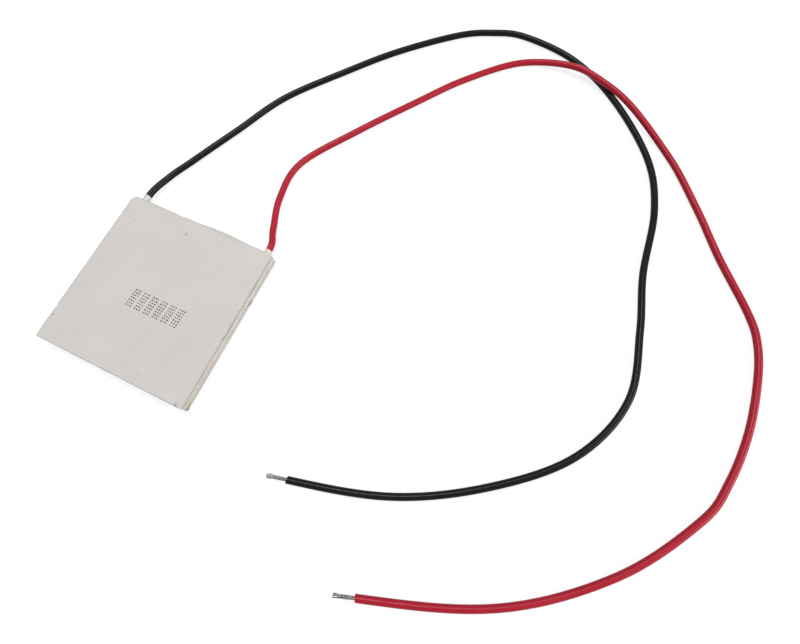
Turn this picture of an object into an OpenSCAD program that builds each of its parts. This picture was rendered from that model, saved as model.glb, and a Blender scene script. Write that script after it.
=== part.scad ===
// Thermoelectric cooling module with its two leads.
// A 16 x 16 field of bismuth telluride pellets, less two corners, stands between two ceramic
// plates. Copper tabs join the pellets in one winding line, end to end, and a bead of sealant
// closes the gap round the edge. The hot face lies on z = 0, the cold face looks up, and the
// leads leave over the +Y edge and lie on the surface that the module lies on.

/* [Ceramic plates] */
// Length of both plates, along the edge that the leads leave over
plate_x = 40; // [36:1:60]
// Depth of both plates, square to that edge
plate_y = 40; // [36:1:60]
// Thickness of each plate
plate_t = 0.8; // [0.5:0.05:1.5]
// Radius of a plate's ordinary corners
corner_r = 0.3; // [0.1:0.05:0.6]
// Radius of the cold plate's worn corner, beside the black lead
worn_r = 1.4; // [0.4:0.1:2]
// Radius of the hot plate's worn corner, on the far side from the leads
worn_hot_r = 0.4; // [0.2:0.1:2]

/* [Pellets] */
// Columns of pellets along X, an even number
columns = 16; // [6:2:16]
// Rows of pellets along Y
rows = 16; // [6:1:16]
// Side of a pellet
pellet_w = 1.4; // [0.8:0.05:1.5]
// Height of a pellet
pellet_h = 1.6; // [1:0.05:3]

/* [Copper and solder] */
// Thickness of the copper tabs
tab_t = 0.3; // [0.2:0.05:0.5]
// Copper left showing round each pellet
tab_margin = 0.2; // [0.1:0.05:0.25]
// Thickness of a solder layer
solder_t = 0.05; // [0.02:0.01:0.1]
// How far the solder spreads past each side of a pellet
solder_spread = 0.05; // [0:0.01:0.1]
// Solder round a lead's core, where it lies on its tab
solder_wrap = 0.175; // [0.1:0.025:0.25]

/* [Sealant] */
// How far the sealant reaches in from the plates' edges
seal_depth = 0.9; // [0.6:0.05:1.2]
// How far its outer face stays behind the three edges without leads
seal_recess = 0.15; // [0.05:0.05:0.3]
// Free space between the sealant and the nearest copper
seal_clearance = 0.2; // [0.1:0.05:0.5]
// Length of the bulge squeezed out over the leads' edge
bulge_l = 15; // [6:1:18]
// How far that bulge stands out
bulge_out = 0.65; // [0.2:0.05:0.9]
// Middle of the bulge along X
bulge_x = 6.5; // [-5:0.5:7]
// Space between the bulge's round side and each plate
bulge_clearance = 0.1; // [0.05:0.05:0.3]

/* [Leads] */
// Outside diameter of a lead
lead_d = 1.65; // [1.3:0.05:2]
// Diameter of its bundle of tinned strands
core_d = 0.85; // [0.5:0.05:1]
// How far both leads are soldered from the middle lines of their tabs, along X
lead_shift = -0.3; // [-0.3:0.05:0.3]
// Sealant sleeve on the black lead, from the plates' edge to its insulation
black_sleeve_l = 1.8; // [1:0.1:3]
// Sealant sleeve on the red lead
red_sleeve_l = 1.3; // [1:0.1:3]
// How much wider a sleeve is than the lead, where it meets the edge
sleeve_flare = 0.15; // [0:0.05:0.3]
// Length of the bared end of each lead
bare_l = 4.5; // [2:0.5:8]
// Strands seen round a bared end
strands = 6; // [5:1:8]
// Turn of the strands over a bared end, in degrees
strand_twist = 160; // [60:10:240]

/* [Hidden] */
$fn = 48;
over = 1; // how far a cutter runs past what it cuts

// The stack, from the hot face up
hot_tab_z = plate_t;
hot_solder_z = hot_tab_z + tab_t;
pellet_z = hot_solder_z + solder_t;
cold_solder_z = pellet_z + pellet_h;
cold_tab_z = cold_solder_z + solder_t;
cold_plate_z = cold_tab_z + tab_t;
gap_h = cold_plate_z - plate_t;

// The pellet field, which ends clear of the sealant
tab_w = pellet_w + 2 * tab_margin;
field_inset = seal_depth + seal_clearance + tab_w / 2;
pitch_x = (plate_x - 2 * field_inset) / (columns - 1);
pitch_y = (plate_y - 2 * field_inset) / (rows - 1);
pellets = columns * rows - 2;
couples = pellets / 2;

// The leads' cores, which lie on the two terminal tabs
lead_edge_y = plate_y / 2;
last_row_y = lead_edge_y - field_inset;
last_column_x = plate_x / 2 - field_inset;
core_z = hot_solder_z + solder_t + core_d / 2;
black_x = lead_shift - last_column_x;
red_x = lead_shift + last_column_x;

// The leads' routes: x, y and lift over the surface in lead diameters, from the module on
black_route = [
    [-17, 29, 0.1], [-14, 36, 0], [-8, 49, 0], [-1.5, 63, 0], [9.5, 77, 0], [20, 89, 0],
    [33, 100.5, 0], [41.5, 105, 0], [50, 107, 0], [64.5, 104.5, 0], [78, 96.5, 0],
    [91.5, 82.5, 0], [97.5, 69, 0], [100, 52, 0], [103.5, 38.5, 0], [106, 22.5, 0],
    [100, 7, 0], [86.5, -6, 0], [69, -16.5, 0], [47.5, -23, 0]
];
// The red lead rides over the black one in a long low hump
red_route = [
    [15.5, 27, 0.15], [12.5, 35.5, 0], [12.5, 46.5, 0], [21.5, 61, 0], [31.5, 75, 0],
    [41, 87.5, 0], [53, 98.5, 0], [65.5, 101, 0.8], [75, 98.5, 1.03], [84, 94, 0.8],
    [96.5, 84.5, 0], [106.5, 73, 0], [114.5, 62.5, 0], [123.5, 52, 0], [127, 46, 0],
    [129, 38, 0], [130, 26.5, 0], [129, 15, 0], [126, 5.5, 0], [114.5, -11, 0],
    [96, -26, 0], [70.5, -36.5, 0]
];
rest_gap = 0.02;    // space under a lead that lies on the surface
exit_pull = 8;      // how firmly a lead leaves straight over the edge
lead_sides = 8;     // sides of a lead's tube
span_rings = 2;     // rings of that tube for each point of the route
strand_slices = 12; // slices of a bared end's twist

function unit(v) = v / norm(v);

// The whole route of a lead: its start at the sleeve, then the points laid on the surface
function laid(start_x, sleeve_l, points) = concat(
    [[start_x, lead_edge_y + sleeve_l, core_z]],
    [for (p = points) [p.x, p.y, lead_d * (0.5 + p.z) + rest_gap]]
);
black_path = laid(black_x, black_sleeve_l, black_route);
red_path = laid(red_x, red_sleeve_l, red_route);

// The pull of a path at its point i, level wherever the lead lies on the surface
function level(p, v) = p.z > lead_d / 2 + 2 * rest_gap ? v : [v.x, v.y, 0];
function pull(path, i) = let (last = len(path) - 1)
    i == 0 ? [0, exit_pull, 0]
    : i == last ? level(path[i], 1.5 * (path[i] - path[i - 1]) - 0.5 * pull(path, i - 1))
    : level(path[i], (path[i + 1] - path[i - 1]) / 2);

// The spot at s along a path, where s counts its points, and the heading there
function span(path, s) = min(floor(s), len(path) - 2);
function spot(path, s) = let (i = span(path, s), t = s - i)
    (2 * t ^ 3 - 3 * t ^ 2 + 1) * path[i] + (t ^ 3 - 2 * t ^ 2 + t) * pull(path, i)
    + (3 * t ^ 2 - 2 * t ^ 3) * path[i + 1] + (t ^ 3 - t ^ 2) * pull(path, i + 1);
function heading(path, s) = let (i = span(path, s), t = s - i)
    unit(6 * (t ^ 2 - t) * (path[i] - path[i + 1]) + (3 * t ^ 2 - 4 * t + 1) * pull(path, i)
    + (3 * t ^ 2 - 2 * t) * pull(path, i + 1));

// The corners of a tube's ring at s, square to the path
function ring(path, s) = let (
    ahead = heading(path, s),
    side = unit(cross([0, 0, 1], ahead)),
    up = cross(ahead, side)
) [for (j = [0:lead_sides - 1]) let (a = 360 * j / lead_sides)
    spot(path, s) + lead_d / 2 * (cos(a) * side + sin(a) * up)];

// Column and row of pellet k along the winding line, which starts beside the black lead.
// The cells -1 and pellets are the two corners without a pellet, where the leads are soldered.
function cell(k) = let (column = floor((k + 1) / rows), step = (k + 1) % rows)
    [column, column % 2 == 0 ? rows - 1 - step : step];
function place(k) = [
    (cell(k).x - (columns - 1) / 2) * pitch_x,
    (cell(k).y - (rows - 1) / 2) * pitch_y,
    0
];

// One ceramic plate; worn is the corner with a radius of its own, as x sign, y sign and radius
module plate(worn) {
    difference() {
        translate([-plate_x / 2, -plate_y / 2, 0]) cube([plate_x, plate_y, plate_t]);
        for (sx = [-1, 1], sy = [-1, 1])
            corner_cut(sx, sy, sx == worn.x && sy == worn.y ? worn.z : corner_r, plate_t);
    }
}

// What rounds one corner off the plates' outline, over the height h
module corner_cut(sx, sy, r, h) {
    side = r + over;
    translate([sx * (plate_x / 2 - r), sy * (plate_y / 2 - r), -over]) difference() {
        translate([sx > 0 ? 0 : -side, sy > 0 ? 0 : -side, 0]) cube([side, side, h + 2 * over]);
        cylinder(r = r, h = h + 2 * over);
    }
}

// The copper tab under or over the cells k and k + 1
module tab(k) {
    a = place(k);
    b = place(k + 1);
    size = [abs(a.x - b.x) + tab_w, abs(a.y - b.y) + tab_w, tab_t];
    translate((a + b) / 2 - [size.x / 2, size.y / 2, 0]) cube(size);
}

// A square block of width w and height h at pellet k
module block(k, w, h) {
    translate(place(k) - [w / 2, w / 2, 0]) cube([w, w, h]);
}

// A round bar of diameter d along +Y at the height of the cores
module bar(x, y, d, l) {
    translate([x, y, core_z]) rotate([-90, 0, 0]) cylinder(d = d, h = l);
}

module cold_plate() {
    color("gainsboro") translate([0, 0, cold_plate_z]) plate([-1, 1, worn_r]);
}

module hot_plate() {
    color("gainsboro") plate([1, -1, worn_hot_r]);
}

module cold_tabs() {
    color("peru") translate([0, 0, cold_tab_z])
        for (j = [0:couples - 1]) tab(2 * j);
}

module hot_tabs() {
    color("peru") translate([0, 0, hot_tab_z])
        for (j = [1:couples - 1]) tab(2 * j - 1);
}

module black_terminal() {
    color("peru") translate([0, 0, hot_tab_z]) tab(-1);
}

module red_terminal() {
    color("peru") translate([0, 0, hot_tab_z]) tab(pellets - 1);
}

module p_pellets() {
    color("dimgray") translate([0, 0, pellet_z])
        for (j = [0:couples - 1]) block(2 * j, pellet_w, pellet_h);
}

module n_pellets() {
    color("slategray") translate([0, 0, pellet_z])
        for (j = [0:couples - 1]) block(2 * j + 1, pellet_w, pellet_h);
}

// Solder under or over every pellet
module solder_layer() {
    for (k = [0:pellets - 1]) block(k, pellet_w + 2 * solder_spread, solder_t);
}

module cold_solder() {
    color("silver") translate([0, 0, cold_solder_z]) solder_layer();
}

module hot_solder() {
    color("silver") translate([0, 0, hot_solder_z]) solder_layer();
}

// The mound of solder that holds a core on its terminal tab
module solder_joint(x) {
    r = core_d / 2 + solder_wrap;
    start_y = last_row_y - pellet_w / 2;
    color("silver") difference() {
        intersection() {
            bar(x, start_y, 2 * r, pellet_w);
            translate([x - r, start_y, hot_solder_z]) cube([2 * r, pellet_w, 2 * r]);
        }
        bar(x, start_y - over, core_d, pellet_w + 2 * over);
    }
}

module black_solder_joint() {
    solder_joint(black_x);
}

module red_solder_joint() {
    solder_joint(red_x);
}

// The closed ring of sealant, with its bulge and the holes that the cores pass through
module edge_sealant() {
    outer = [plate_x - 2 * seal_recess, plate_y - seal_recess, gap_h];
    inner = [plate_x - 2 * seal_depth, plate_y - 2 * seal_depth, gap_h + 2 * over];
    color("antiquewhite") difference() {
        union() {
            translate([-outer.x / 2, lead_edge_y - outer.y, plate_t]) cube(outer);
            bulge();
        }
        translate([-inner.x / 2, -inner.y / 2, plate_t - over]) cube(inner);
        translate([0, 0, plate_t]) corner_cut(-1, 1, worn_r, gap_h);
        for (x = [black_x, red_x]) bar(x, inner.y / 2 - over, core_d, seal_depth + 2 * over);
    }
}

// Sealant squeezed out between the plates: a slice of a wide ring with a round section
module bulge() {
    section_r = gap_h / 2 - bulge_clearance;
    bend_r = (bulge_l ^ 2 / 4 + bulge_out ^ 2) / (2 * bulge_out);
    root_y = lead_edge_y - seal_depth / 2;
    intersection() {
        translate([bulge_x, lead_edge_y + bulge_out - bend_r, plate_t + gap_h / 2])
            rotate_extrude() translate([bend_r - section_r, 0]) circle(r = section_r);
        translate([bulge_x - bulge_l / 2, root_y, plate_t])
            cube([bulge_l, lead_edge_y + bulge_out + over - root_y, gap_h]);
    }
}

// The bundle of strands from the terminal tab to the end of the sleeve
module core(x, sleeve_l) {
    start_y = last_row_y - tab_w / 2;
    color("silver") bar(x, start_y, core_d, lead_edge_y + sleeve_l - start_y);
}

module black_core() {
    core(black_x, black_sleeve_l);
}

module red_core() {
    core(red_x, red_sleeve_l);
}

// The sealant sleeve round a core, from the edge to the insulation
module sleeve(x, l) {
    color("whitesmoke") difference() {
        translate([x, lead_edge_y, core_z]) rotate([-90, 0, 0])
            cylinder(d1 = lead_d + sleeve_flare, d2 = lead_d, h = l);
        bar(x, lead_edge_y - over, core_d, l + 2 * over);
    }
}

module black_sleeve() {
    sleeve(black_x, black_sleeve_l);
}

module red_sleeve() {
    sleeve(red_x, red_sleeve_l);
}

// A lead's tube, swept along its path
module tube(path) {
    rings = span_rings * (len(path) - 1);
    n = lead_sides;
    corners = [for (k = [0:rings]) each ring(path, k / span_rings)];
    walls = [
        for (k = [0:rings - 1], j = [0:n - 1])
            let (a = k * n + j, b = k * n + (j + 1) % n)
            each [[a, b + n, b], [a, a + n, b + n]]
    ];
    start = [for (j = [0:n - 1]) j];
    end = [for (j = [n - 1:-1:0]) rings * n + j];
    polyhedron(corners, concat(walls, [start, end]), convexity = 10);
}

module black_lead() {
    color("#26262a") tube(black_path);
}

module red_lead() {
    color("#be2d41") tube(red_path);
}

// The bared strands at the far end of a path, twisted together
module bare_end(path) {
    last = len(path) - 1;
    ahead = heading(path, last);
    strand_r = core_d / 2 * sin(180 / strands) / (1 + sin(180 / strands));
    color("lightgray") translate(path[last]) rotate([0, 90, atan2(ahead.y, ahead.x)])
        linear_extrude(height = bare_l, twist = strand_twist, slices = strand_slices) {
            circle(r = core_d / 2 - strand_r, $fn = 2 * strands);
            for (i = [0:strands - 1]) rotate(360 * i / strands)
                translate([core_d / 2 - strand_r, 0]) circle(r = strand_r, $fn = 16);
        }
}

module black_bare_end() {
    bare_end(black_path);
}

module red_bare_end() {
    bare_end(red_path);
}

cold_plate();
hot_plate();
cold_tabs();
hot_tabs();
black_terminal();
red_terminal();
p_pellets();
n_pellets();
cold_solder();
hot_solder();
black_solder_joint();
red_solder_joint();
edge_sealant();
black_core();
red_core();
black_sleeve();
red_sleeve();
black_lead();
red_lead();
black_bare_end();
red_bare_end();
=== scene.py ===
# %% [markdown]
# # A thermoelectric cooling module with its two leads
# The real thing is a flat sandwich: two square plates of white alumina with 254 small pellets of
# bismuth telluride between them, cream silicone round the edge, and a black and a red lead.
# The construction is already solid and fixed. This lesson loads it as a frame, and gives each
# piece the surface, the worn edges and the small faults that a real one has.

# %% Load the frame
import math
import random

import bmesh
import bpy
from mathutils import Matrix, Vector, noise


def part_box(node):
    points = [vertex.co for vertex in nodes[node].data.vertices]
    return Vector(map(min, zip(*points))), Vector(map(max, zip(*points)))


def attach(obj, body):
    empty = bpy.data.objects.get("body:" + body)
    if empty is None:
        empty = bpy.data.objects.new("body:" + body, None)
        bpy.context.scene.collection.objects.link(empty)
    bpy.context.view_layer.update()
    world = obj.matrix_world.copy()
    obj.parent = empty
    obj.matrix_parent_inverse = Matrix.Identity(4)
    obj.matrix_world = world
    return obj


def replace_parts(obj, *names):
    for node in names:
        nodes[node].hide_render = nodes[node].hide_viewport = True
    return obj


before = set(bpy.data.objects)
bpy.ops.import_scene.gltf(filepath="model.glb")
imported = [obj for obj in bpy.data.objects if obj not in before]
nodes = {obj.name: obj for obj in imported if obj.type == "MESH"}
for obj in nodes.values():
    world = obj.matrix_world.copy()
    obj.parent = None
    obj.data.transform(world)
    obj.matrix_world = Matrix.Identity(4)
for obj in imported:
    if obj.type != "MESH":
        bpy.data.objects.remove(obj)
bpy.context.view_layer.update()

MM = 0.001

# %% [markdown]
# ## The camera
# The camera comes first, because the leads have to lie inside its view. It stands close over the
# loop of the leads and looks steeply down, tilted a little towards the module. Its picture's top
# edge points along a heading in the plan, which says how far the camera is rolled.

# %% Camera
CAMERA_EYE = Vector((74.9, -12.1, 111.6)) * MM
CAMERA_TARGET = Vector((54.0, 18.5, 0.0)) * MM
TOP_HEADING = math.radians(115.4)
CAMERA_LENS = 23.0


def aimed(eye, target, top_heading):
    """The placing of a camera at eye that looks at target, with the picture's top on a heading."""
    ahead = (target - eye).normalized()
    right = ahead.cross(Vector((math.cos(top_heading), math.sin(top_heading), 0))).normalized()
    turn = Matrix((right, right.cross(ahead), -ahead)).transposed()
    return Matrix.Translation(eye) @ turn.to_4x4()


camera = bpy.data.objects.new("camera", bpy.data.cameras.new("camera"))
camera.data.lens = CAMERA_LENS
camera.data.sensor_width = 36
camera.data.clip_start = 5 * MM
camera.matrix_world = aimed(CAMERA_EYE, CAMERA_TARGET, TOP_HEADING)
bpy.context.collection.objects.link(camera)
bpy.context.scene.camera = camera
print("camera", round((CAMERA_EYE - CAMERA_TARGET).length / MM), "mm from its target")

# %% [markdown]
# ## The leads' routes
# A lead is a fixed length of soft wire that lies where it fell. Its route is a short list of
# points: x, y and how many lead diameters it is lifted off the surface. A smooth line through
# the points comes from giving each one a pull, which is half the step between its neighbours.
# A Bezier spline takes a third of that pull as its handles, and is then exactly that line.

# %% Routes of the leads
LEAD_D = 1.65 * MM
REST_GAP = 0.02 * MM
EXIT_PULL = 8 * MM
CORE_D = 0.85 * MM

core_box = {side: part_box(side + "_core") for side in ("black", "red")}


def laid(side, points):
    """A lead's whole route: its start at the end of its core, then the points on the surface."""
    low, high = core_box[side]
    start = Vector(((low[0] + high[0]) / 2, high[1], (low[2] + high[2]) / 2))
    return [start] + [
        Vector((x * MM, y * MM, LEAD_D * (0.5 + lift) + REST_GAP)) for x, y, lift in points
    ]


black_route = laid("black", [
    (-17, 29, 0.1), (-14, 36, 0), (-8, 49, 0), (-1.5, 63, 0), (9.5, 77, 0), (20, 89, 0),
    (33, 100.5, 0), (41.5, 105, 0), (50, 107, 0), (64.5, 104.5, 0), (78, 96.5, 0),
    (91.5, 82.5, 0), (97.5, 69, 0), (100, 52, 0), (103.5, 38.5, 0), (106, 22.5, 0),
    (100, 7, 0), (86.5, -6, 0), (69, -16.5, 0), (47.5, -23, 0),
])
red_route = laid("red", [
    (15.5, 27, 0.15), (12.5, 35.5, 0), (12.5, 46.5, 0), (21.5, 61, 0), (31.5, 75, 0),
    (41, 87.5, 0), (53, 98.5, 0), (65.5, 101, 0.8), (75, 98.5, 1.03), (84, 94, 0.8),
    (96.5, 84.5, 0), (106.5, 73, 0), (114.5, 62.5, 0), (123.5, 52, 0), (127, 46, 0),
    (129, 38, 0), (130, 26.5, 0), (129, 15, 0), (126, 5.5, 0), (114.5, -11, 0),
    (96, -26, 0), (70.5, -36.5, 0),
])


def level(point, pull):
    """The pull, made level wherever the lead lies on the surface."""
    lies = point.z <= LEAD_D / 2 + 2 * REST_GAP
    return Vector((pull.x, pull.y, 0)) if lies else pull


def pulls(route):
    """The pull at each point of a route."""
    inner = [level(b, (c - a) / 2) for a, b, c in zip(route, route[1:], route[2:])]
    last = level(route[-1], 1.5 * (route[-1] - route[-2]) - 0.5 * inner[-1])
    return [Vector((0, EXIT_PULL, 0))] + inner + [last]


print("route points:", len(black_route), "black,", len(red_route), "red")

# %% [markdown]
# ## The leads
# Each lead is one curve object with a round bevel, which stays a true round tube in every view.
# The bevel is one unit deep and each point's radius scales it, because Blender measures a curve's
# box with the points' radius. The curve stops a little short of the bared strands: the cut end of
# the insulation is a piece of its own, made further down.

# %% Leads
CUT_L = 0.5 * MM


def lead_curve(name, route):
    """A lead as a Bezier spline through its route, with a round bevel."""
    curve = bpy.data.curves.new(name, "CURVE")
    curve.dimensions = "3D"
    curve.bevel_depth = 1
    curve.bevel_resolution = 6
    curve.resolution_u = 10
    curve.use_fill_caps = True
    spline = curve.splines.new("BEZIER")
    spline.bezier_points.add(len(route) - 1)
    handles = pulls(route)
    ends = route[:-1] + [route[-1] - handles[-1].normalized() * CUT_L / 2]
    for knot, place, handle in zip(spline.bezier_points, ends, handles):
        knot.handle_left_type = knot.handle_right_type = "FREE"
        knot.co = place
        knot.radius = LEAD_D / 2
        knot.handle_left = place - handle / 3
        knot.handle_right = place + handle / 3
    spline.bezier_points[0].handle_left = ends[0]
    spline.bezier_points[-1].handle_right = ends[-1]
    lead = bpy.data.objects.new(name, curve)
    bpy.context.collection.objects.link(lead)
    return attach(lead, "root")


def spline_length(lead):
    """The length of a lead's spline, in metres."""
    return lead.data.splines[0].calc_length()


black_lead = lead_curve("black_lead_insulation", black_route)
red_lead = lead_curve("red_lead_insulation", red_route)
for lead in (black_lead, red_lead):
    print(lead.name, round(spline_length(lead) / MM, 1), "mm long")

# %% [markdown]
# ## Helpers for the meshes
# Every new piece is a bmesh that is turned into an object at the origin, with its place in its
# mesh. A seeded random source makes each run the same.

# %% Mesh helpers
FLAT_FACE_VERTS = 50
rng = random.Random(7)


def piece(bm, name, smooth_angle):
    """Turns a bmesh into a piece that rides on the module; its large faces stay flat."""
    bmesh.ops.recalc_face_normals(bm, faces=bm.faces)
    mesh = bpy.data.meshes.new(name)
    bm.to_mesh(mesh)
    bm.free()
    mesh.set_sharp_from_angle(angle=math.radians(smooth_angle))
    for face in mesh.polygons:
        face.use_smooth = len(face.vertices) < FLAT_FACE_VERTS
    made = bpy.data.objects.new(name, mesh)
    bpy.context.collection.objects.link(made)
    print(name, len(mesh.polygons), "faces")
    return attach(made, "root")


def bevel(bm, parts, offset, segments, affect):
    """Rounds edges, or the corners of a flat outline when affect is VERTICES."""
    bmesh.ops.bevel(
        bm, geom=parts, offset=offset, offset_type="OFFSET", segments=segments,
        profile=0.5, affect=affect, clamp_overlap=True, material=-1,
    )


def smooth(x):
    """Eases a number between 0 and 1."""
    x = min(max(x, 0), 1)
    return x * x * (3 - 2 * x)


def standing_on(place, heading):
    """The placing that takes +Z to a heading and the origin to a place."""
    return Matrix.Translation(place) @ heading.to_track_quat("Z", "Y").to_matrix().to_4x4()

# %% [markdown]
# ## The cut ends of the insulation
# Where a lead is stripped, the insulation ends in a slightly slanted cut with a thin burr. It is
# a profile spun round the lead's own axis: the outside, the rim, and the hole that the strands
# come out of. The slant and the roughness are moves of the rim's points along that axis.

# %% Cut ends
LATHE_STEPS = 40
CUT_PROFILE = [
    (0.4, -0.45), (0.81, -0.45), (0.825, -0.24), (0.83, -0.12), (0.84, -0.06),
    (0.825, 0.0), (0.77, 0.03), (0.58, 0.01), (0.44, -0.04), (0.4, -0.16),
]


def lathe(bm, profile):
    """Spins a closed profile of (radius, height) pairs in millimetres round Z."""
    points = [bm.verts.new((r * MM, 0, h * MM)) for r, h in profile]
    loop = [bm.edges.new(pair) for pair in zip(points, points[1:] + points[:1])]
    bmesh.ops.spin(
        bm, geom=points + loop, cent=(0, 0, 0), axis=(0, 0, 1), angle=math.tau,
        steps=LATHE_STEPS, use_merge=True,
    )


def cut_end(name, route, slant):
    """The last half millimetre of a lead's insulation."""
    bm = bmesh.new()
    lathe(bm, CUT_PROFILE)
    for vert in bm.verts:
        near_rim = smooth((vert.co.z / MM + 0.2) / 0.2)
        rough = 0.03 * MM * noise.noise(vert.co / (0.25 * MM))
        vert.co.z += near_rim * (slant * vert.co.x + rough)
    heading = pulls(route)[-1].normalized()
    bmesh.ops.transform(bm, matrix=standing_on(route[-1], heading), verts=bm.verts)
    return piece(bm, name, 50)


black_cut = cut_end("black_lead_cut", black_route, 0.12)
red_cut = cut_end("red_lead_cut", red_route, -0.1)

# %% [markdown]
# ## The bared strands
# The last few millimetres of each lead are bare: six tinned wires laid round a seventh. A
# wire is a small circle carried up a helix by spin, whose dvec lifts it a little at each step.
# They were twisted by hand, so the lay is open at the tip, where the wires run nearly straight
# and stand apart, and tight where they go into the insulation. Each point also notes how deep in a
# groove of the bundle it lies, for the painted shade there.

# %% Bared strands
BARE_L = 4.5 * MM
STRAND_R = 0.138 * MM
OPEN_L = 1.5 * MM
OUTER_RING = CORE_D / 2 - STRAND_R
SUNK = 0.4 * MM


def strand(bm, angle, ring, lay, tip_l):
    """One wire: up a helix that turns by lay, then nearly straight to its own tip."""
    seat = Matrix.Rotation(angle, 4, "Z") @ Matrix.Translation((ring, 0, -SUNK))
    circle = bmesh.ops.create_circle(
        bm, cap_ends=True, segments=8, radius=STRAND_R, matrix=seat
    )["verts"]
    end = list({face for vert in circle for face in vert.link_faces})
    helix_l = BARE_L + SUNK - OPEN_L
    for turn, rise, steps in ((lay, helix_l, 28), (lay * 0.08, tip_l, 6)):
        grown = bmesh.ops.spin(
            bm, geom=end, cent=(0, 0, 0), axis=(0, 0, 1), dvec=(0, 0, rise / steps),
            angle=turn, steps=steps,
        )
        end = [part for part in grown["geom_last"] if isinstance(part, bmesh.types.BMFace)]


def bare_strands(name, route, lay, splay):
    """The whole bundle, narrow at the insulation and open at its tip."""
    bm = bmesh.new()
    for count, ring in ((6, OUTER_RING), (1, 0)):
        for k in range(count):
            angle = math.tau * (k + rng.uniform(-0.05, 0.05)) / count
            strand(bm, angle, ring, lay, OPEN_L + rng.uniform(-0.12, 0.02) * MM)
    # How deep a point lies between the strands, for the painted shade there.
    groove = bm.verts.layers.float.new("groove")
    for vert in bm.verts:
        from_axis = math.hypot(vert.co.x, vert.co.y) / (CORE_D / 2)
        vert[groove] = 1 - smooth((from_axis - 0.8) / 0.16)
        along = vert.co.z / BARE_L
        opened = 0.9 + 0.1 * smooth(along / 0.5) + splay * smooth((along - 0.6) / 0.4)
        wander = noise.noise(Vector((vert.co.x, vert.co.y, vert.co.z * 0.35)) / (0.5 * MM))
        vert.co.x *= opened + 0.1 * wander * smooth(along)
        vert.co.y *= opened + 0.1 * wander * smooth(along)
    heading = pulls(route)[-1].normalized()
    bmesh.ops.transform(bm, matrix=standing_on(route[-1], heading), verts=bm.verts)
    return piece(bm, name, 60)


black_strands = bare_strands("black_lead_strands", black_route, math.radians(-400), 0.2)
red_strands = bare_strands("red_lead_strands", red_route, math.radians(-380), 0.12)

# %% [markdown]
# ## The ceramic plates
# Each plate is sawn from a thin sheet of alumina, so its faces are flat, its rim is sharp but
# never clean, and one corner of each is worn. The outline is one flat face: its four corners are
# rounded by a vertex bevel and its sides are cut into short steps. It is extruded to the plate's
# thickness, the rim is bevelled, and small bites are then pushed in along it.

# %% Ceramic plates
PLATE_HALF = 20 * MM
CORNER_R = 0.3 * MM
STEP = 0.2 * MM
RIM_R = 0.05 * MM
WORN_R, WORN_HOT_R = 1.4 * MM, 0.4 * MM
BITE = 0.12


def outline(bm, low, high, z, worn):
    """One flat face with rounded corners; worn is a corner's signs and its own radius."""
    middle = [(a + b) / 2 for a, b in zip(low, high)]
    half = [(b - a) / 2 for a, b in zip(low, high)]
    seat = Matrix.Translation((*middle, z)) @ Matrix.Diagonal((*half, 1, 1))
    corners = bmesh.ops.create_grid(bm, x_segments=1, y_segments=1, size=1, matrix=seat)
    corners = corners["verts"]
    picked = [v for v in corners if v.co.x * worn[0] > 0 and v.co.y * worn[1] > 0]
    others = [v for v in corners if v not in picked]
    for verts, radius in ((others, CORNER_R), (picked, worn[2])):
        bevel(bm, verts, radius, 8, "VERTICES")
    long_sides = [edge for edge in bm.edges if edge.calc_length() > 10 * MM]
    bmesh.ops.bisect_edges(bm, edges=long_sides, cuts=int(2 * PLATE_HALF / STEP))
    return list(bm.faces)


def outward(place):
    """The way out of the plates' outline at a place on it, in the plan."""
    reach = PLATE_HALF - WORN_R
    inner = [min(max(x, -reach), reach) for x in (place.x, place.y)]
    return Vector((place.x - inner[0], place.y - inner[1], 0)).normalized()


def extruded(bm, faces, rise):
    """Extrudes faces straight up and returns the new top faces."""
    grown = bmesh.ops.extrude_face_region(bm, geom=faces)["geom"]
    top = [part for part in grown if isinstance(part, bmesh.types.BMVert)]
    bmesh.ops.translate(bm, vec=(0, 0, rise), verts=top)
    return [part for part in grown if isinstance(part, bmesh.types.BMFace)]


def ceramic_plate(name, node, worn, seed):
    """One plate, over the height of its solid, with a worn rim."""
    low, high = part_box(node)
    bm = bmesh.new()
    face = outline(bm, low[:2], high[:2], low[2], worn)
    extruded(bm, face, high[2] - low[2])
    rim = [e for e in bm.edges if abs(e.verts[0].co.z - e.verts[1].co.z) < 1e-7]
    bevel(bm, rim, RIM_R, 2, "EDGES")
    for vert in bm.verts:
        if vert.co.z < low[2] + 0.1 * MM or vert.co.z > high[2] - 0.1 * MM:
            grain = noise.noise(vert.co / (0.5 * MM) + Vector((seed, 0, 0)))
            bite = noise.noise(vert.co / (2.2 * MM) + Vector((0, seed, 0)))
            depth = 0.02 * abs(grain) + BITE * smooth((bite - 0.35) / 0.25)
            vert.co -= outward(vert.co) * depth * MM
    made = piece(bm, name, 25)
    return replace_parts(made, node)


cold_plate = ceramic_plate("cold_face_plate", "cold_plate", (-1, 1, WORN_R), 3.0)
hot_plate = ceramic_plate("hot_face_plate", "hot_plate", (1, -1, WORN_HOT_R), 8.0)

# %% [markdown]
# ## The sealant round the edge
# A bead of cream silicone closes the gap between the plates. It was pressed in by hand: it stands
# back from the rims by different amounts, swells in the middle of its height, and has squeezed
# out in one long bulge between the leads. The bead is a flat ring, extruded in rows, and each
# outer point is then pushed out or in by a sum of those shapes.

# %% Edge sealant
SEAL_DEPTH = 0.75 * MM
SEAL_BACK = 0.15 * MM
SEAL_ROWS = 9
SWELL = 0.12
BULGE_X, BULGE_L, BULGE_OUT = 6.5, 15.0, 0.85
seal_low, seal_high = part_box("edge_sealant")


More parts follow.
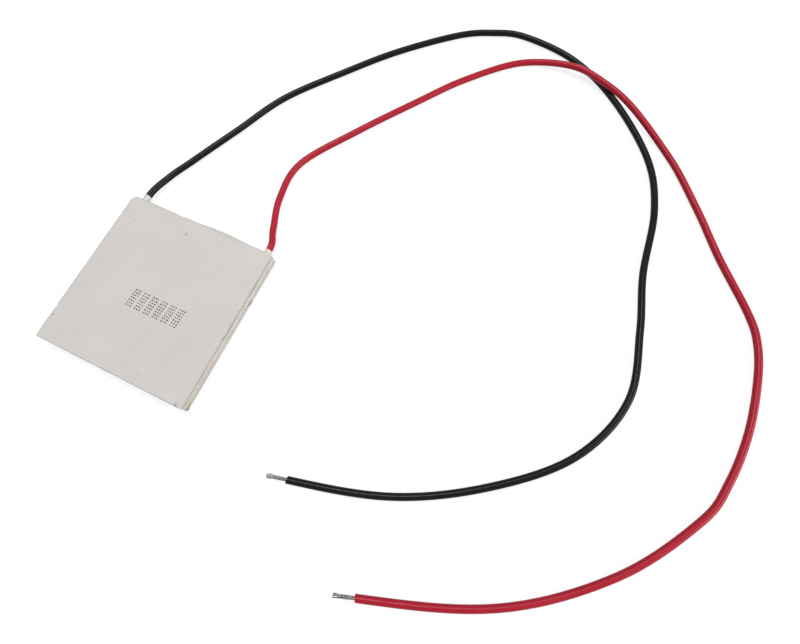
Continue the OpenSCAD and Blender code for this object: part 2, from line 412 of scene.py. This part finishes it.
def seal_push(place, height):
    """How far the sealant stands out at a place, in mm; height goes from 0 to 1."""
    swell = max(0, math.sin(math.pi * height)) ** 0.7
    lumps = noise.noise(place / (1.1 * MM)) * 0.07 + noise.noise(place / (3.7 * MM)) * 0.08
    push = SWELL * swell - SWELL * smooth((height - 0.7) / 0.3) + lumps
    if place.y > PLATE_HALF - 0.4 * MM:
        x = place.x / MM
        reach = 1 - ((x - BULGE_X) / (BULGE_L / 2)) ** 2
        if reach > 0:
            heavy = smooth(height / 0.5) * (1 - 0.45 * smooth((height - 0.75) / 0.25))
            ripple = 1 + 0.15 * noise.noise(place / (2 * MM))
            push += (BULGE_OUT - SWELL) * heavy * ripple * reach ** 0.4
        for side in ("black_core", "red_core"):
            middle = sum(corner[0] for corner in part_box(side)) / 2 / MM
            push += 0.25 * swell * math.exp(-((x - middle) / 1.5) ** 2)
    return push


bm = bmesh.new()
ring = outline(
    bm, (-PLATE_HALF + SEAL_BACK, -PLATE_HALF + SEAL_BACK),
    (PLATE_HALF - SEAL_BACK, PLATE_HALF - 0.02 * MM), seal_low[2], (-1, 1, WORN_R),
)
outer = bm.verts.layers.float.new("outer")
rim_verts = list(bm.verts)
bmesh.ops.inset_region(
    bm, faces=ring, thickness=SEAL_DEPTH, use_even_offset=True, use_boundary=True
)
for vert in bm.verts:
    vert[outer] = float(vert in rim_verts)
bmesh.ops.delete(bm, geom=ring, context="FACES_ONLY")
band = list(bm.faces)
for row in range(SEAL_ROWS):
    band = extruded(bm, band, (seal_high[2] - seal_low[2]) / SEAL_ROWS)
for vert in bm.verts:
    if vert[outer] > 0.5:
        height = (vert.co.z - seal_low[2]) / (seal_high[2] - seal_low[2])
        vert.co += outward(vert.co) * seal_push(vert.co, height) * MM
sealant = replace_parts(piece(bm, "edge_sealant_bead", 60), "edge_sealant")

# %% [markdown]
# ## The sealant sleeves
# Between the plates' edge and the insulation, each bare core wears a collar of the same silicone,
# wiped round it with a finger. It is a lathe shape lying along the core, with lumps pushed into
# it, and its far end laps a little over the start of the insulation.

# %% Sealant sleeves


def sleeve(name, side, length, lap):
    """The collar round one core, from inside the bead to the start of the insulation."""
    low, high = core_box[side]
    place = Vector(((low[0] + high[0]) / 2, PLATE_HALF, (low[2] + high[2]) / 2))
    end = length + lap
    profile = [
        (0.3, -0.5), (0.68, -0.5), (0.72, -0.15), (0.9, 0.12), (0.89, 0.45),
        (0.85, length * 0.5), (0.85, length * 0.75), (0.87, length - 0.1), (0.865, end - 0.12),
        (0.845, end - 0.03), (0.81, end), (0.3, end),
    ]
    bm = bmesh.new()
    lathe(bm, profile)
    for vert in bm.verts:
        out = Vector((vert.co.x, vert.co.y, 0))
        if out.length > 0.6 * MM and vert.co.z > 0:
            lump = noise.noise(vert.co / (0.8 * MM) + Vector((length, 0, 0)))
            vert.co += out.normalized() * lump * 0.06 * MM
            vert.co.z += 0.1 * lump * MM * smooth(vert.co.z / MM / length)
    bmesh.ops.transform(bm, matrix=standing_on(place, Vector((0, 1, 0))), verts=bm.verts)
    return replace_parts(piece(bm, name, 60), side + "_sleeve")


black_sleeve = sleeve("black_lead_sleeve", "black", 1.8, 0.12)
red_sleeve = sleeve("red_lead_sleeve", "red", 1.3, 0.1)

# %% [markdown]
# ## The marks on the cold face
# An ink jet prints in round dots. Here they make a row of plain blocks, which says nothing. Each
# dot is a very thin disc with its own size and place, because no two drops of ink land alike.

# %% Printed dots
BLOCKS, BLOCK_COLUMNS, BLOCK_ROWS = 6, 3, 7
LEAN = 0.06
DOT_R = 0.2 * MM
DOT_PITCH = Vector((0.62, 0.68)) * MM
PRINT_START = Vector((-5.0, -4.9)) * MM
cold_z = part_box("cold_plate")[1][2]

bm = bmesh.new()
for block in range(BLOCKS):
    for column in range(BLOCK_COLUMNS):
        for row in range(BLOCK_ROWS):
            across = block * (BLOCK_COLUMNS + 1) + column
            x = PRINT_START.x + across * DOT_PITCH.x + LEAN * row * DOT_PITCH.y
            y = PRINT_START.y + row * DOT_PITCH.y + 0.02 * MM * rng.gauss(0, 1)
            radius = DOT_R * rng.uniform(0.8, 1.15)
            x += 0.02 * MM * rng.gauss(0, 1)
            seat = Matrix.Translation((x, y, cold_z - 0.01 * MM))
            bmesh.ops.create_cone(
                bm, cap_ends=True, segments=9, radius1=radius, radius2=radius * 0.9,
                depth=0.04 * MM, matrix=seat,
            )
print_dots = piece(bm, "cold_face_print", 30)

# %% [markdown]
# ## Helpers for the materials
# A material here is one Principled shader, fed by a few texture nodes that read the piece's own
# Object coordinates. Numbers that stay the same all over a surface are set on the shader itself.

# %% Material helpers


def colour(red, green, blue):
    """A colour from its 0 to 255 values on a screen, as the linear colour that shaders use."""
    parts = [x / 255 for x in (red, green, blue)]
    return [x / 12.92 if x <= 0.04045 else ((x + 0.055) / 1.055) ** 2.4 for x in parts] + [1]


def add(mat, kind, settings=None, **inputs):
    """Adds a node. Each input is a value, or the output of another node."""
    node = mat.node_tree.nodes.new("ShaderNode" + kind)
    for name, value in (settings or {}).items():
        setattr(node, name, value)
    for name, value in inputs.items():
        socket = node.inputs[name.replace("_", " ")]
        if isinstance(value, bpy.types.NodeSocket):
            mat.node_tree.links.new(value, socket)
        else:
            socket.default_value = value
    return node


def finish(name, **sockets):
    """A new material, the shader in it and its Object coordinates."""
    mat = bpy.data.materials.new(name)
    mat.use_nodes = True
    shader = mat.node_tree.nodes["Principled BSDF"]
    for socket, value in sockets.items():
        shader.inputs[socket.replace("_", " ")].default_value = value
    return mat, shader, add(mat, "TexCoord").outputs["Object"]


def grains(mat, where, size, detail=2):
    """Noise whose lumps are about size millimetres, from 0 to 1."""
    return add(mat, "TexNoise", Vector=where, Scale=1 / (size * MM), Detail=detail).outputs["Fac"]


def ranged(mat, value, low, high, to_low=0, to_high=1):
    """Maps low..high to another range and clips it."""
    made = add(mat, "MapRange", Value=value)
    made.inputs["From Min"].default_value = low
    made.inputs["From Max"].default_value = high
    made.inputs["To Min"].default_value = to_low
    made.inputs["To Max"].default_value = to_high
    return made.outputs[0]


def fed(mat, kind, settings, inputs, output):
    """Adds a node whose inputs go by number, because their names repeat."""
    node = add(mat, kind, settings)
    for index, value in inputs.items():
        if isinstance(value, bpy.types.NodeSocket):
            mat.node_tree.links.new(value, node.inputs[index])
        else:
            node.inputs[index].default_value = value
    return node.outputs[output]


def mixed(mat, amount, under, over):
    """One colour laid over another, by an amount from 0 to 1."""
    return fed(mat, "Mix", {"data_type": "RGBA"}, {0: amount, 6: under, 7: over}, 2)


def maths(mat, operation, a, b=0.0):
    """One sum on two values."""
    return fed(mat, "Math", {"operation": operation}, {0: a, 1: b}, 0)


def wire_up(mat, shader, base, roughness, height=None, relief=0.0):
    """Connects colour, roughness and a bump of so many millimetres to the shader."""
    mat.node_tree.links.new(base, shader.inputs["Base Color"])
    mat.node_tree.links.new(roughness, shader.inputs["Roughness"])
    if height is not None:
        bump = add(mat, "Bump", Height=height, Distance=relief * MM, Strength=1.0)
        mat.node_tree.links.new(bump.outputs[0], shader.inputs["Normal"])
    return mat


def dress(mat, slot_name, *pieces):
    """Gives a material to pieces; slot_name is not used."""
    for made in pieces:
        made.data.materials.clear()
        made.data.materials.append(mat)


def dress_node(mat, *names):
    """Gives a material to CAD nodes that stay."""
    for name in names:
        for slot in nodes[name].material_slots:
            slot.material = mat


def spot(mat, where, x, y, radius, softness):
    """A round patch on a level face: 1 inside, 0 outside, with a soft edge."""
    flat = fed(mat, "VectorMath", {"operation": "MULTIPLY"}, {0: where, 1: (1, 1, 0)}, 0)
    middle = (x * MM, y * MM, 0)
    away = fed(mat, "VectorMath", {"operation": "DISTANCE"}, {0: flat, 1: middle}, "Value")
    return ranged(mat, away, radius * MM, (radius + softness) * MM, 1, 0)

# %% [markdown]
# ## Alumina
# The plates are off-white and quite matt, with a faint cloudiness from the firing and tiny grey
# specks. A greyer line along the top of the rim, but not on the +X side that faces the fill lamp,
# is painted shade of the rim, partly the rim's own grey. The line is found by how far out and how
# high a point lies, which Object coordinates give directly.

# %% Alumina


def alumina(name, top, marks, stain):
    """Fired alumina; top is its upper face, marks are dark flecks and stain is a corner."""
    mat, shader, where = finish(name, Specular_IOR_Level=0.35)
    parts = add(mat, "SeparateXYZ", Vector=where).outputs
    clouds = grains(mat, where, 9, 4)
    base = mixed(mat, ranged(mat, clouds, 0.3, 0.7), colour(213, 209, 206), colour(207, 204, 202))
    fine = grains(mat, where, 0.25, 3)
    base = mixed(mat, ranged(mat, fine, 0.3, 0.7, 0, 0.25), base, colour(192, 190, 186))
    speck = ranged(mat, grains(mat, where, 0.5, 0), 0.83, 0.87, 0, 0.3)
    base = mixed(mat, speck, base, colour(150, 147, 142))
    far_x = maths(mat, "MULTIPLY", parts[0], -1.0)
    far_y = maths(mat, "ABSOLUTE", parts[1])
    far = maths(mat, "MAXIMUM", far_x, far_y)
    # Painted shade: a grey line along the top of the rim on the -X and both Y sides, partly its
    # own grey.
    edge = ranged(mat, far, PLATE_HALF - 0.22 * MM, PLATE_HALF - 0.1 * MM)
    near_top = ranged(mat, parts[2], top - 0.12 * MM, top - 0.04 * MM)
    patchy = ranged(mat, grains(mat, where, 3, 2), 0.35, 0.65, 0.35, 0.85)
    rim_grey_and_shade = maths(mat, "MULTIPLY", maths(mat, "MULTIPLY", edge, near_top), patchy)
    base = mixed(mat, rim_grey_and_shade, base, colour(134, 130, 124))
    for x, y, radius, strength in marks:
        fleck = spot(mat, where, x, y, radius, radius)
        base = mixed(mat, maths(mat, "MULTIPLY", fleck, strength), base, colour(90, 88, 84))
    if stain:
        dirty = spot(mat, where, *stain)
        torn = ranged(mat, grains(mat, where, 0.8, 3), 0.35, 0.6, 0.2, 0.9)
        base = mixed(mat, maths(mat, "MULTIPLY", dirty, torn), base, colour(140, 134, 120))
    rough = ranged(mat, clouds, 0.3, 0.7, 0.62, 0.75)
    return wire_up(mat, shader, base, rough, fine, 0.004)


cold_marks = [
    (18.6, -19.6, 0.2, 0.5), (-1.8, 16.2, 0.25, 0.3), (-15.7, 14.2, 0.1, 0.4),
    (7.4, -17.7, 0.1, 0.5), (-19.35, -14.2, 0.15, 0.5),
]
dress(alumina("cold_alumina", cold_z, cold_marks, None), "alumina", cold_plate)
hot_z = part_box("hot_plate")[1][2]
hot_marks = [(19.9, 8.0, 0.5, 0.4)]
dress(alumina("hot_alumina", hot_z, hot_marks, (19.9, -19.4, 0.6, 0.9)), "alumina", hot_plate)

# %% [markdown]
# ## Silicone
# The bead is cream, mottled and browner where it was handled, with a thin darker line of painted
# shadow just under the cold plate. The collars on the cores are the same stuff.

# %% Silicone


def silicone(name, light, dark, tan, rough_from):
    """Cured silicone, in lumps of two creams; tan is the colour of a handled bead, and a bead with
    tan also gets painted shadow under the cold plate.
    """
    mat, shader, where = finish(name, Specular_IOR_Level=0.4)
    lumps = grains(mat, where, 1.2, 4)
    base = mixed(mat, ranged(mat, lumps, 0.35, 0.65), colour(*light), colour(*dark))
    if tan:
        parts = add(mat, "SeparateXYZ", Vector=where).outputs
        # Painted shadow: a thin darker line just under the cold plate's edge, not on the +Y side.
        under_plate_shadow = ranged(mat, parts[2], seal_high[2] - 0.58 * MM, seal_high[2] - 0.4 * MM, 0, 0.8)
        beside = ranged(mat, parts[1], PLATE_HALF - 0.6 * MM, PLATE_HALF - 0.2 * MM, 1, 0)
        base = mixed(mat, maths(mat, "MULTIPLY", under_plate_shadow, beside), base, colour(132, 121, 108))
        handled = ranged(mat, parts[1], 2 * MM, -20 * MM, 0, 0.75)
        patches = ranged(mat, grains(mat, where, 2.5, 3), 0.3, 0.6)
        base = mixed(mat, maths(mat, "MULTIPLY", handled, patches), base, colour(*tan))
    fine = grains(mat, where, 0.3, 3)
    rough = ranged(mat, fine, 0.3, 0.7, rough_from, rough_from + 0.15)
    return wire_up(mat, shader, base, rough, fine, 0.02)


dress(silicone("bead_silicone", (220, 217, 210), (209, 204, 195), (203, 190, 170), 0.5),
      "sealant", sealant)
dress(silicone("black_sleeve_silicone", (214, 214, 211), (192, 192, 188), None, 0.4),
      "sleeve_sealant", black_sleeve)
dress(silicone("red_sleeve_silicone", (226, 220, 208), (208, 198, 184), None, 0.4),
      "sleeve_sealant", red_sleeve)

# %% [markdown]
# ## Insulation
# Soft coloured plastic, drawn over the strands: smooth, with a faint line of shine along it, and
# paler rubbed patches where it has dragged over a bench.

# %% Insulation


def insulation(name, tone, rubbed, shine, rough_from):
    """Extruded soft plastic with rubbed patches; shine is how much it mirrors head on."""
    mat, shader, where = finish(name, Specular_IOR_Level=shine)
    patches = ranged(mat, grains(mat, where, 6, 3), 0.5, 0.75, 0, 0.6)
    base = mixed(mat, patches, colour(*tone), colour(*rubbed))
    dust = ranged(mat, grains(mat, where, 0.35, 1), 0.72, 0.8, 0, 0.35)
    base = mixed(mat, dust, base, colour(*[min(255, x + 25) for x in rubbed]))
    fine = grains(mat, where, 0.5, 3)
    rough = ranged(mat, fine, 0.3, 0.7, rough_from, rough_from + 0.14)
    return wire_up(mat, shader, base, rough, fine, 0.012)


black_plastic = insulation("black_plastic", (6, 6, 9), (12, 12, 16), 0.14, 0.25)
red_plastic = insulation("red_plastic", (170, 25, 46), (180, 38, 58), 0.17, 0.27)
dress(black_plastic, "black_insulation", black_lead, black_cut)
dress(red_plastic, "red_insulation", red_lead, red_cut)

# %% [markdown]
# ## Tinned copper, solder and the metals inside
# The strands are bright but not polished: the tin is slightly uneven, and shade between the
# strands is painted darker.
# The pellets, tabs and solder between the plates are hidden in a whole module, and get the
# finishes that a cut one would show.

# %% Metals


def metal(name, light, dark, size, roughness, metallic=1.0, groove_shade=None):
    """A metal in two tones, mottled at a size in millimetres, with a third tone painted as shade
    between strands.
    """
    mat, shader, where = finish(name, Metallic=metallic)
    mottle = grains(mat, where, size, 3)
    base = mixed(mat, ranged(mat, mottle, 0.35, 0.65), colour(*light), colour(*dark))
    if groove_shade:
        # Painted shade: the strands are darker where they lie deep in the bundle.
        deep = add(mat, "Attribute", {"attribute_name": "groove"}).outputs["Fac"]
        base = mixed(mat, deep, base, colour(*groove_shade))
    rough = ranged(mat, mottle, 0.3, 0.7, roughness, roughness + 0.15)
    return wire_up(mat, shader, base, rough, mottle, 0.006)


tinned = metal("tinned_copper", (178, 176, 176), (112, 108, 108), 0.4, 0.3, groove_shade=(18, 17, 18))
dress(tinned, "tinned_strands", black_strands, red_strands)
dress_node(tinned, "black_core", "red_core")
dress_node(metal("copper", (220, 150, 110), (180, 108, 74), 1.5, 0.3),
           "cold_tabs", "hot_tabs", "black_terminal", "red_terminal")
dress_node(metal("soft_solder", (200, 202, 204), (160, 162, 166), 0.6, 0.3),
           "cold_solder", "hot_solder", "black_solder_joint", "red_solder_joint")
dress_node(metal("p_telluride", (120, 120, 126), (84, 84, 90), 0.4, 0.5, metallic=0.6),
           "p_pellets")
dress_node(metal("n_telluride", (132, 133, 140), (96, 97, 104), 0.4, 0.5, metallic=0.6),
           "n_pellets")

# %% [markdown]
# ## Ink
# The ink is a thin dark grey that lets a little of the ceramic through, in paler patches here and
# there.

# %% Ink
ink, ink_shader, ink_where = finish("print_ink", Specular_IOR_Level=0.2)
ink_tone = mixed(ink, ranged(ink, grains(ink, ink_where, 0.3, 2), 0.3, 0.7),
                 colour(46, 46, 50), colour(84, 83, 84))
wire_up(ink, ink_shader, ink_tone, ranged(ink, grains(ink, ink_where, 0.2), 0.3, 0.7, 0.6, 0.8))
print_dots.data.materials.append(ink)

# %% [markdown]
# ## What the cords are
# Each lead and its bared strands take the place of the frame's own lead and bare end, which are
# hidden.

# %% Cords
for side, lead, route, length, with_it in (
    ("black", black_lead, black_route, 0.305, [black_cut, black_strands, black_sleeve]),
    ("red", red_lead, red_route, 0.304, [red_cut, red_strands, red_sleeve]),
):
    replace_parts(lead, side + "_lead")
    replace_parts(with_it[1], side + "_bare_end")
print("cords declared:", black_lead.name, red_lead.name)

# %% [markdown]
# ## Floor and light
# The module lies on a plain white table in a large white room. Both look white to the camera and
# in reflections, and light the module less than they look. The table still takes its shadow.

# %% Floor and world
TABLE_HALF = 1.5
TABLE_GAP = 0.02 * MM
TABLE_PLAIN, TABLE_LIFTED, TABLE_GLOW = 0.5, 0.24, 0.82
ROOM_LIGHT, ROOM_SEEN = 0.33, 1.0


def seen_directly(tree):
    """1 for what the camera sees, straight, in gloss or through glass, and 0 for other light."""
    rays = tree.nodes.new("ShaderNodeLightPath").outputs
    total = rays["Is Camera Ray"]
    for name in ("Is Glossy Ray", "Is Transmission Ray"):
        node = tree.nodes.new("ShaderNodeMath")
        node.operation = "MAXIMUM"
        tree.links.new(total, node.inputs[0])
        tree.links.new(rays[name], node.inputs[1])
        total = node.outputs[0]
    return total


bm = bmesh.new()
bmesh.ops.create_grid(bm, x_segments=8, y_segments=8, size=TABLE_HALF,
                      matrix=Matrix.Translation((0.05, 0.03, -TABLE_GAP)))
floor_mesh = bpy.data.meshes.new("table_top")
bm.to_mesh(floor_mesh)
bm.free()
table_top = bpy.data.objects.new("table_top", floor_mesh)
bpy.context.collection.objects.link(table_top)

white_table = bpy.data.materials.new("white_table")
white_table.use_nodes = True
tree = white_table.node_tree
tree.nodes.clear()
seen = seen_directly(tree)
plain = tree.nodes.new("ShaderNodeBsdfDiffuse")
plain.inputs["Color"].default_value = (*[TABLE_PLAIN] * 3, 1)
lifted = tree.nodes.new("ShaderNodeBsdfDiffuse")
lifted.inputs["Color"].default_value = (*[TABLE_LIFTED] * 3, 1)
glow = tree.nodes.new("ShaderNodeEmission")
glow.inputs["Strength"].default_value = TABLE_GLOW
both = tree.nodes.new("ShaderNodeAddShader")
tree.links.new(lifted.outputs[0], both.inputs[0])
tree.links.new(glow.outputs[0], both.inputs[1])
choice = tree.nodes.new("ShaderNodeMixShader")
tree.links.new(seen, choice.inputs[0])
tree.links.new(plain.outputs[0], choice.inputs[1])
tree.links.new(both.outputs[0], choice.inputs[2])
out = tree.nodes.new("ShaderNodeOutputMaterial")
tree.links.new(choice.outputs[0], out.inputs[0])
table_top.data.materials.append(white_table)

world = bpy.data.worlds.new("white_room")
world.use_nodes = True
bpy.context.scene.world = world
tree = world.node_tree
background = tree.nodes["Background"]
background.inputs["Color"].default_value = (1, 1, 1, 1)
strength = tree.nodes.new("ShaderNodeMapRange")
tree.links.new(seen_directly(tree), strength.inputs["Value"])
strength.inputs["To Min"].default_value = ROOM_LIGHT
strength.inputs["To Max"].default_value = ROOM_SEEN
tree.links.new(strength.outputs[0], background.inputs["Strength"])
print("table", round(table_top.dimensions.x, 1), "m wide, world ready")

# %% [markdown]
# ## Lamps
# A key lamp high up gives the leads their line of shine. Where it stands decides where that line
# falls. A larger fill lamp, low on the +X side, lights the edge of the module that faces it.

# %% Lamps


def lamp(name, place, target, size, watts):
    """A square soft lamp that points at a target."""
    light = bpy.data.lights.new(name, "AREA")
    light.size = size
    light.energy = watts
    made = bpy.data.objects.new(name, light)
    place, target = Vector(place), Vector(target)
    made.matrix_world = Matrix.Translation(place) @ (target - place).to_track_quat(
        "-Z", "Y").to_matrix().to_4x4()
    bpy.context.collection.objects.link(made)
    return made


lamp("key", (-0.13, 0.23, 0.86), (0.05, 0.03, 0), 0.22, 3.95)
lamp("fill", (0.75, 0.1, 0.32), (0.03, 0.03, 0), 0.4, 3.8)
bpy.context.scene.view_settings.view_transform = "Standard"
